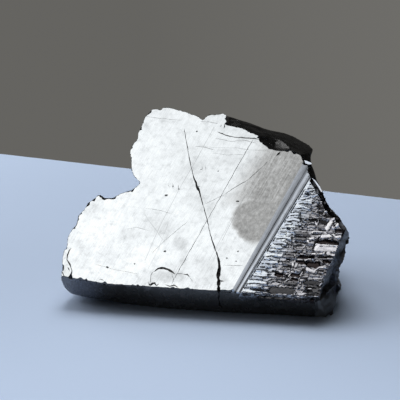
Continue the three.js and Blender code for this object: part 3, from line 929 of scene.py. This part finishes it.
def place_group():
    g, _, out = new_group("place on the face", {}, {"Place": VECTOR})
    where = add(g, "ShaderNodeTexCoord").outputs["Object"]
    d = vector_node(g, "SUBTRACT", where, tuple(LIP))
    axes = [
        vector_node(g, "DOT_PRODUCT", d, tuple(axis / MM), out=1)
        for axis in (ALONG, UP, OUT)
    ]
    c = add(g, "ShaderNodeCombineXYZ")
    for s, a in zip(c.inputs, axes):
        feed(g, s, a)
    feed(g, out.inputs["Place"], c.outputs[0])
    return g


def hairline_group():
    g, i, out = new_group(
        "hairline",
        {"Place": (VECTOR, (0, 0, 0)), "From": (VECTOR, (0, 0, 0)),
         "To": (VECTOR, (1, 0, 0)), "Width": (FLOAT, 0.1),
         "Strength": (FLOAT, 1.0), "Under": (FLOAT, 0.0)},
        {"Mask": FLOAT},
    )
    i = i.outputs
    line = vector_node(g, "SUBTRACT", i["To"], i["From"])
    d = vector_node(g, "SUBTRACT", i["Place"], i["From"])
    flat = vector_node(g, "MULTIPLY", d, (1, 1, 0))
    share = math_node(
        g, "DIVIDE",
        vector_node(g, "DOT_PRODUCT", flat, line, out=1),
        vector_node(g, "DOT_PRODUCT", line, line, out=1),
        clamp=True,
    )
    rest = vector_node(g, "SUBTRACT", flat, vector_scale(g, line, share))
    away = vector_node(g, "LENGTH", rest, out=1)
    inner = times(g, i["Width"], 0.25)
    mark = ramp(g, away, inner, i["Width"], i["Strength"], 0.0)
    feed(g, out.inputs["Mask"], math_node(g, "MAXIMUM", i["Under"], mark))
    return g


def side_group():
    g, i, out = new_group(
        "side of a line",
        {"Place": (VECTOR, (0, 0, 0)), "Point": (VECTOR, (0, 0, 0)),
         "Towards": (VECTOR, (1, 0, 0)), "Softness": (FLOAT, 0.5)},
        {"Mask": FLOAT},
    )
    i = i.outputs
    d = vector_node(g, "SUBTRACT", i["Place"], i["Point"])
    away = vector_node(g, "DOT_PRODUCT", d, i["Towards"], out=1)
    less = times(g, i["Softness"], -1.0)
    feed(g, out.inputs["Mask"], ramp(g, away, less, i["Softness"]))
    return g


def patch_group():
    g, i, out = new_group(
        "soft patch",
        {"Place": (VECTOR, (0, 0, 0)), "Centre": (VECTOR, (0, 0, 0)),
         "Size": (VECTOR, (1, 1, 1)), "Edge": (FLOAT, 0.3),
         "Strength": (FLOAT, 1.0), "Under": (FLOAT, 0.0)},
        {"Mask": FLOAT},
    )
    i = i.outputs
    d = vector_node(g, "SUBTRACT", i["Place"], i["Centre"])
    d = vector_node(g, "DIVIDE", d, i["Size"])
    d = vector_node(g, "MULTIPLY", d, (1, 1, 0))
    away = vector_node(g, "LENGTH", d, out=1)
    low = math_node(g, "SUBTRACT", 1.0, i["Edge"])
    high = math_node(g, "ADD", 1.0, i["Edge"])
    mark = ramp(g, away, low, high, i["Strength"], 0.0)
    feed(g, out.inputs["Mask"], math_node(g, "MAXIMUM", i["Under"], mark))
    return g


PLACE, HAIRLINE, SIDE, PATCH = place_group(), hairline_group(), side_group(), patch_group()


def new_material(name):
    m = bpy.data.materials.new(name)
    m.use_nodes = True
    t = m.node_tree
    t.nodes.clear()
    shader = add(t, "ShaderNodeBsdfPrincipled")
    out = add(t, "ShaderNodeOutputMaterial")
    t.links.new(shader.outputs[0], out.inputs[0])
    return m, t, shader


def stroke(tree, place, under, points, width, strength=1.0):
    """Draws a hairline through several points over what is already drawn."""
    for a, b in zip(points, points[1:]):
        under = use(tree, HAIRLINE, Place=place, Under=under, From=(*a, 0), To=(*b, 0),
                    Width=width, Strength=strength)
    return under


# Faint scratches: points, width and strength.
SCRATCHES = [
    ([(-9.0, 38.0), (-12.0, 29.6), (-14.5, 23.3), (-17.8, 13.7), (-19.9, 5.7)], 0.12, 0.25),
    ([(-21.2, 15.9), (-20.0, 14.3), (-18.5, 12.6), (-16.8, 10.4)], 0.12, 0.2),
    ([(-4.7, 11.1), (-0.9, 21.7)], 0.12, 0.3),
    ([(-6.9, 6.5), (-1.6, 20.2)], 0.1, 0.18),
    ([(-7.5, 3.0), (-4.9, 9.5)], 0.1, 0.15),
    ([(-12.0, 33.2), (-8.8, 32.9), (-4.0, 33.0)], 0.12, 0.2),
    ([(-16.2, 14.2), (-17.6, 8.0), (-19.0, 4.0)], 0.1, 0.15),
    ([(-11.2, 9.0), (-13.4, 3.5)], 0.1, 0.15),
]
PITS = [
    (-17.4, 20.8, 0.3), (-27.4, 3.7, 0.3), (-22.0, 4.7, 0.2), (-16.1, 7.9, 0.26),
    (-12.6, 36.8, 0.2), (-10.7, 27.4, 0.15), (-7.1, 27.1, 0.14), (-2.3, 20.2, 0.3),
    (-16.2, 23.0, 0.15), (-14.9, 22.4, 0.2), (-1.3, 8.8, 0.2), (-3.4, 7.2, 0.2),
    (-1.5, 6.6, 0.16),
]
# Colours of the silver plates beside the crack, of those further right and of the rust.
SPLINTER = (0.81, 0.885, 1.0)
BARK = (0.92, 0.92, 0.98)
RUST = (0.036, 0.02, 0.021)
# How bright the ridge is painted from the bevel's edge (0) to the crack (1), against the face: the bevel as
# a painted darker reflection, the grooves as painted shade, lighter silver bands between.
RIDGE_PAINTED_SHADING = [
    (0.0, 0.46), (0.06, 0.45), (0.2, 0.38), (0.32, 0.29), (0.42, 0.23), (0.5, 0.2), (0.56, 0.26),
    (0.6, 0.56), (0.64, 0.5), (0.68, 0.68), (0.72, 0.52), (0.76, 0.62), (0.82, 0.38), (0.86, 0.46),
    (0.9, 0.24), (0.94, 0.34), (0.97, 0.14), (1.0, 0.18),
]


def painted_ridge_shading(tree, place):
    """Painted shading of the ridge's bevel, grooves and crest, and 0 to 1 for on the face or on the ridge.
    """
    parts = add(tree, "ShaderNodeSeparateXYZ")
    feed(tree, parts.inputs[0], place)
    along, up = parts.outputs[0], parts.outputs[1]
    left = math_node(tree, "MULTIPLY_ADD", up, BEVEL_LINE[1], BEVEL_LINE[0])
    foot_gap, lean = CRACK_LINE[0] - BEVEL_LINE[0], CRACK_LINE[1] - BEVEL_LINE[1]
    gap = math_node(tree, "MULTIPLY_ADD", up, lean, foot_gap)
    share = math_node(tree, "DIVIDE", math_node(tree, "SUBTRACT", along, left), gap)
    combed = add_xyz(tree, times(tree, share, 6.0), times(tree, up, 0.12))
    streaks = noise_node(tree, combed, 3.0, 4, 0.6)
    bands = add(tree, "ShaderNodeValToRGB")
    stops = bands.color_ramp.elements
    for k, (at, tone) in enumerate(RIDGE_PAINTED_SHADING):
        stop = stops[k] if k < 2 else stops.new(at)
        stop.position = at
        stop.color = (tone, tone, tone, 1)
    feed(tree, bands.inputs[0], share)
    tone = times(tree, bands.outputs[0], ramp(tree, streaks, 0.3, 0.7, 0.8, 1.2))
    tone = times(tree, tone, ramp(tree, up, 3.0, 13.0, 1.25, 1.0))
    return tone, ramp(tree, share, -0.012, 0.012)


def film_material():
    m, t, shader = new_material("silver cleavage film")
    place = use(t, PLACE)
    along_ridge = vector_node(t, "DOT_PRODUCT", place, (0.385, 0.923, 0), out=1)
    across_ridge = vector_node(t, "DOT_PRODUCT", place, (0.923, -0.385, 0), out=1)
    cloud = noise_node(t, place, 0.13, 5, 0.62)
    mottle = noise_node(t, place, 0.7, 6, 0.62)
    brush = add_xyz(t, times(t, across_ridge, 1.6), times(t, along_ridge, 0.12))
    streak = noise_node(t, brush, 1.0, 5, 0.6)
    tone = math_node(t, "ADD", ramp(t, cloud, 0.4, 0.72, 1.08, 0.86), ramp(t, mottle, 0.45, 0.8, 0.0, -0.2))
    tone = math_node(t, "ADD", tone, ramp(t, streak, 0.5, 0.75, 0.0, -0.08))
    # painted reflection falloff: the face is painted slowly darker towards the upper right, where its
    # reflection of the overhead softbox falls off
    slope = vector_node(t, "DOT_PRODUCT", place, (0.6, 0.4, 0), out=1)
    tone = times(t, tone, ramp(t, slope, -16.0, 16.0, 1.06, 0.9))
    # painted dark reflection: a greyer, warmer patch beside the ridge, painted where the face mirrors
    # something darker
    wander = noise_node(t, place, 0.55, 5, 0.62)
    shift = times(t, math_node(t, "SUBTRACT", wander, 0.5), 2.0)
    moved = vector_node(t, "ADD", place, add_xyz(t, shift, shift))
    foot = use(t, PATCH, Place=moved, Centre=(3.2, 16.2, 0), Size=(6.2, 5.4, 1), Edge=0.12, Strength=1.0)
    foot = times(t, foot, ramp(t, dot_up(t, moved), 23.0, 20.0, 0.0, 1.0))
    upper = use(t, SIDE, Place=moved, Point=(-1.0, 25.4, 0), Towards=(0.92, -0.385, 0), Softness=3.0)
    upper = times(t, upper, ramp(t, dot_up(t, moved), 18.0, 21.5))
    upper = times(t, upper, ramp(t, streak, 0.42, 0.66, 1.06, 0.78))
    fibres = noise_node(t, vector_node(t, "MULTIPLY", brush, (2.2, 1.3, 1.0)), 1.0, 2, 0.5)
    upper = times(t, upper, ramp(t, fibres, 0.5, 0.66, 1.0, 0.8))
    beside = times(t, ramp(t, across_ridge, -4.8, -1.9), ramp(t, dot_up(t, moved), 11.0, 12.5))
    painted_dark_reflection = math_node(t, "MAXIMUM", math_node(t, "MAXIMUM", foot, upper), times(t, beside, 1.08))
    blotch = noise_node(t, place, 1.1, 4, 0.7)
    painted_dark_reflection = times(t, painted_dark_reflection, ramp(t, blotch, 0.3, 0.72, 1.05, 0.84))
    # painted dark reflection: the face is painted darker in this patch
    tone = times(t, tone, ramp(t, painted_dark_reflection, 0.0, 1.0, 1.0, 0.41, "LINEAR"))
    # a square patch in the middle and the dull inside of the shell-shaped mark
    for centre, size, edge in (
        ((-13.2, 9.7, 0), (1.5, 1.5, 1), 0.25),
        ((-14.2, 2.4, 0), (3.4, 1.3, 1), 0.3),
    ):
        dull = use(t, PATCH, Place=moved, Centre=centre, Size=size, Edge=edge, Strength=1.0)
        tone = times(t, tone, ramp(t, dull, 0.0, 1.0, 1.0, 0.82, "LINEAR"))
    hairs = noise_node(t, vector_node(t, "MULTIPLY", brush, (3.0, 3.0, 1.0)), 1.0, 3, 0.6)
    tone = times(t, tone, ramp(t, hairs, 0.32, 0.7, 0.95, 1.06))
    speckle = noise_node(t, add_xyz(t, across_ridge, times(t, along_ridge, 0.6)), 1.7, 5, 0.8)
    speckle = times(t, math_node(t, "SUBTRACT", speckle, 0.5), ramp(t, painted_dark_reflection, 0.0, 1.0, 0.12, 1.5))
    tone = times(t, tone, math_node(t, "ADD", speckle, 1.0))
    # scratches, cracks and pits
    shake = times(t, math_node(t, "SUBTRACT", noise_node(t, place, 1.6, 4, 0.7), 0.5), 0.7)
    shaky = vector_node(t, "ADD", place, add_xyz(t, shake, shake))
    dark = 0.0
    for scratch in SCRATCHES:
        dark = stroke(t, place, dark, *scratch)
    for a, u, r in PITS:
        dark = use(t, PATCH, Place=shaky, Under=dark, Centre=(a, u, 0), Size=(r, 0.8 * r, 1), Edge=0.3)
    tone = times(t, tone, ramp(t, dark, 0.0, 1.0, 1.0, 0.06, "LINEAR"))
    ridge, on_ridge = painted_ridge_shading(t, place)
    plain = mixed(t, painted_dark_reflection, (0.878, 0.92, 0.945, 1), (0.905, 0.915, 0.91, 1))
    colour = mixed(t, on_ridge, vector_scale(t, plain, tone), vector_scale(t, (0.82, 0.885, 0.985), ridge))
    feed(t, shader.inputs["Base Color"], colour)
    shader.inputs["Metallic"].default_value = 1.0
    feed(t, shader.inputs["Roughness"], ramp(t, mottle, 0.3, 0.8, 0.16, 0.3))
    bump = add(t, "ShaderNodeBump")
    bump.inputs["Strength"].default_value = 0.25
    bump.inputs["Distance"].default_value = 0.00005
    feed(t, bump.inputs["Height"], mottle)
    feed(t, shader.inputs["Normal"], bump.outputs[0])
    return m


def splinter_material():
    """Silver plates and rusty hollows, with painted shade; how silver and how rusty each place is, is in
    the mesh.
    """
    m, t, shader = new_material("splintered silver")
    place = use(t, PLACE)
    silver = add(t, "ShaderNodeAttribute", attribute_name="silver").outputs["Fac"]
    rust = add(t, "ShaderNodeAttribute", attribute_name="rust").outputs["Fac"]
    grit = noise_node(t, vector_node(t, "MULTIPLY", place, (1.0, 2.2, 1.0)), 2.6, 5, 0.65)
    tone = times(t, silver, ramp(t, grit, 0.3, 0.7, 0.72, 1.2))
    step = vector_node(t, "DOT_PRODUCT", place, (1.0, -CRACK_LINE[1], 0), out=1)
    tint = mixed(t, ramp(t, step, 2.0, 5.5), (*SPLINTER, 1), (*BARK, 1))
    plain = vector_scale(t, tint, tone)
    feed(t, shader.inputs["Base Color"], mixed(t, rust, plain, (*RUST, 1)))
    feed(t, shader.inputs["Metallic"], ramp(t, rust, 0.0, 1.0, 1.0, 0.4))
    feed(t, shader.inputs["Roughness"], ramp(t, grit, 0.3, 0.7, 0.22, 0.34))
    return m


def black_material():
    m, t, shader = new_material("black break")
    place = use(t, PLACE)
    grain = noise_node(t, place, 0.8, 6, 0.6)
    # the broken right side is duller, with bluish patches; the left end is painted bluer, a painted
    # reflection of the lit table
    parts = add(t, "ShaderNodeSeparateXYZ")
    feed(t, parts.inputs[0], place)
    dull = times(t, ramp(t, parts.outputs[0], 13.5, 16.0), ramp(t, parts.outputs[1], 22.0, 16.0))
    # painted reflection: the left end's bluish colour stands in for the lit table it mirrors
    left = times(t, ramp(t, parts.outputs[0], -26.0, -33.0), ramp(t, parts.outputs[1], 4.0, 0.0))
    bluish_patches_and_painted_reflection = times(t, dull, ramp(t, noise_node(t, place, 0.9, 4, 0.6), 0.4, 0.62))
    bluish_patches_and_painted_reflection = times(t, bluish_patches_and_painted_reflection, ramp(t, parts.outputs[1], 1.0, 4.5))
    bluish_patches_and_painted_reflection = math_node(t, "MAXIMUM", bluish_patches_and_painted_reflection, left)
    black = vector_scale(t, (1.0, 1.02, 1.08), ramp(t, grain, 0.3, 0.7, 0.002, 0.008))
    feed(t, shader.inputs["Base Color"], mixed(t, bluish_patches_and_painted_reflection, black, (0.09, 0.105, 0.145, 1)))
    rough = math_node(t, "MULTIPLY_ADD", dull, 0.26, ramp(t, grain, 0.3, 0.7, 0.14, 0.34))
    feed(t, shader.inputs["Roughness"], rough)
    shader.inputs["IOR"].default_value = 2.0
    bump = add(t, "ShaderNodeBump")
    bump.inputs["Strength"].default_value = 0.16
    bump.inputs["Distance"].default_value = 0.0001
    feed(t, bump.inputs["Height"], grain)
    feed(t, shader.inputs["Normal"], bump.outputs[0])
    return m


# ---------------------------------------------------------------- which face has which finish
def store_corner_tones(me):
    """Writes how silver and how rusty each point of the corner is into the mesh; the silver carries painted
    shade.
    """
    co = np.empty(len(me.vertices) * 3)
    me.vertices.foreach_get("co", co)
    along, up, out = face_places(co.reshape(-1, 3))
    h, silver, rust = corner(along, up)
    silver = 1.12 * silver.clip(0, 1.0) ** 1.75
    # painted shade: darker where the surface lies deeper than the corner's relief, as in cracks and chips
    silver *= 1 - 0.8 * smooth(h - out, 0.15, 0.6)
    silver[on_ledge(along, up, out)] = 0.9
    for name, values in (("silver", silver), ("rust", rust)):
        me.attributes.new(name, "FLOAT", "POINT").data.foreach_set("value", values.clip(0, 1.3))


# Places of the three finishes in the stone's list of materials.
BLACK, FILM, SPLINTERED = 0, 1, 2
SLIVER_AREA = 2e-9


def finish_faces(stone, finishes):
    """Gives each face its finish and keeps the cleavage face's edge sharp."""
    me = stone.data
    me.materials.clear()
    for m in finishes:
        me.materials.append(m)
    n = len(me.polygons)
    centre, normal, area = np.empty(n * 3), np.empty(n * 3), np.empty(n)
    me.polygons.foreach_get("center", centre)
    me.polygons.foreach_get("normal", normal)
    me.polygons.foreach_get("area", area)
    along, up, out = face_places(centre.reshape(-1, 3))
    facing = normal.reshape(-1, 3) @ np.array(OUT)
    share = ridge_share(along, up)
    on_face_plane = (np.abs(out) < 0.02) & (facing > 0.999)
    sliver = (area < SLIVER_AREA) & (up > 0.3)
    beside_bevel = (share > -0.15) & (share < 0.05) & (out > -0.16) & (up > 0.3)
    kind = np.full(n, BLACK)
    kind[on_face_plane] = FILM
    kind[(share > -0.05) & (share < 1) & (out > -0.5) & ((facing > 0.5) | sliver)] = FILM
    kind[(share >= 1) & (out > -1.6) & (facing > 0.2)] = SPLINTERED
    kind[beside_bevel] = FILM
    kind[on_ledge(along, up, out) & (facing > 0.999)] = SPLINTERED
    me.polygons.foreach_set("material_index", kind)
    store_corner_tones(me)
    pick(stone)
    bpy.ops.object.shade_smooth_by_angle(angle=math.radians(35))
    flat = on_face_plane | (share > -0.2) & (share < 0.07) & (out > -0.16)
    me.polygons.foreach_set("use_smooth", ~flat)


# ---------------------------------------------------------------- floor, light, camera
CAMERA_AIM = BASE + Vector((-1.517, -4.561, 19.2)) * MM
CAMERA_RISE = math.radians(20)
CAMERA_DISTANCE = 0.195


def camera():
    away = Vector((0, -math.cos(CAMERA_RISE), math.sin(CAMERA_RISE)))
    bpy.ops.object.camera_add(location=CAMERA_AIM + away * CAMERA_DISTANCE)
    o = bpy.context.object
    o.name = "camera"
    o.rotation_euler = (math.radians(90) - CAMERA_RISE, 0, 0)
    o.data.lens = 85
    o.data.sensor_width = 36
    o.data.clip_start = 0.01
    bpy.context.scene.camera = o


def table():
    deselect()
    bpy.ops.mesh.primitive_plane_add(size=1, location=(0, 0, 0))
    o = bpy.context.object
    o.name = "floor"
    # its back edge runs away from the camera on the left
    corners = {(-1, -1): (-0.6, -0.6), (1, -1): (0.6, -0.6), (-1, 1): (-0.6, 0.283), (1, 1): (0.6, -0.149)}
    for v in o.data.vertices:
        x, y = corners[(1 if v.co.x > 0 else -1), (1 if v.co.y > 0 else -1)]
        v.co = (x, y, CAD_LOW.z - 0.00001)
    m, t, shader = new_material("pale table")
    where = add(t, "ShaderNodeTexCoord").outputs["Object"]
    soft = noise_node(t, where, 6.0, 2, 0.5)
    depth = add(t, "ShaderNodeSeparateXYZ")
    feed(t, depth.inputs[0], where)
    # painted light: the floor's colour is darker towards the back and brighter towards the front, standing
    # in for the lamps' falloff
    tone = ramp(t, depth.outputs[1], 0.02, -0.1, 0.93, 1.3)
    tone = times(t, tone, ramp(t, soft, 0.3, 0.7, 0.97, 1.03))
    feed(t, shader.inputs["Base Color"], vector_scale(t, (0.455, 0.555, 0.725), tone))
    shader.inputs["Roughness"].default_value = 0.6
    o.data.materials.append(m)


def softbox(name, aim, towards, distance, size, radiance):
    """A rectangular lamp that shines at aim from that direction."""
    towards = Vector(towards).normalized()
    bpy.ops.object.light_add(type="AREA", location=aim + towards * distance)
    o = bpy.context.object
    o.name = name
    o.rotation_euler = towards.to_track_quat("Z", "Y").to_euler()
    o.data.shape = "RECTANGLE"
    o.data.size, o.data.size_y = size
    o.data.energy = radiance * math.pi * size[0] * size[1]
    return o


def surroundings():
    w = bpy.data.worlds.new("studio")
    bpy.context.scene.world = w
    w.use_nodes = True
    t = w.node_tree
    t.nodes.clear()
    back = add(t, "ShaderNodeBackground")
    out = add(t, "ShaderNodeOutputWorld")
    t.links.new(back.outputs[0], out.inputs[0])
    back.inputs["Color"].default_value = (0.13, 0.127, 0.118, 1)
    # the backdrop is lit near the table and dark higher up
    towards = add(t, "ShaderNodeSeparateXYZ")
    feed(t, towards.inputs[0], add(t, "ShaderNodeTexCoord").outputs["Generated"])
    reflected = ramp(t, towards.outputs[2], 0.1, 0.32, 1.0, 0.2)
    reflected = times(t, reflected, ramp(t, towards.outputs[0], 0.1, 0.7, 1.0, 0.4))
    seen = add(t, "ShaderNodeLightPath").outputs["Is Camera Ray"]
    seen = times(t, seen, ramp(t, towards.outputs[0], -0.3, 0.3, 0.88, 1.22))
    feed(t, back.inputs["Strength"], math_node(t, "MAXIMUM", reflected, seen))


# ---------------------------------------------------------------- the whole thing
camera()
table()
surroundings()
overhead = softbox("overhead softbox", on_face(-8, 20), (-0.27, -0.22, 0.93), 0.36, (0.36, 0.36), 1.0)
overhead.visible_diffuse = False  # a reflector for the shiny faces, which leaves the shadow dark
back = softbox("back softbox", on_face(0, 10), (-0.04, 0.62, 0.8), 0.7, (0.42, 0.42), 7.1)
back.visible_glossy = False  # light for the table, with a dimmer reflector in its place
reflector = softbox("back reflector", on_face(0, 10), (-0.2, 0.62, 0.8), 0.7, (0.42, 0.42), 1.1)
reflector.visible_diffuse = False
side = softbox("side softbox", on_face(0, 10), (-0.75, 0.5, 0.5), 0.8, (0.6, 0.6), 4.4)
side.visible_glossy = False
bpy.context.scene.view_settings.view_transform = "Standard"

stone = stone_body()
film, splinter, black = film_material(), splinter_material(), black_material()
stone.data.materials.clear()
stone.data.materials.append(black)
combine(stone, prism(CORNER, CORNER_DEPTH, CORNER_LEVEL), "UNION")
for corners in LUMPS:
    combine(stone, lump(corners), "UNION")
in_order(stone)
facets = BVHTree.FromPolygons(
    [v.co for v in stone.data.vertices], [p.vertices for p in stone.data.polygons]
)
applied(stone, "REMESH", mode="VOXEL", voxel_size=GRAIN)
break_surface(stone, facets)
applied(stone, "DECIMATE", ratio=KEPT_FACES)
combine(stone, block_above(0), "DIFFERENCE")
combine(stone, rim_chips(stone), "DIFFERENCE")
combine(stone, relief_tool(), "DIFFERENCE")
for outline, level in LEDGES:
    combine(stone, prism(outline, level - LEDGE_DEPTH, level), "UNION")
for tool in crack_tools():
    combine(stone, tool, "DIFFERENCE")
combine(stone, block_below(), "DIFFERENCE")
in_order(stone)
finish_faces(stone, (black, film, splinter))

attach(stone, "root")
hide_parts("shungite")
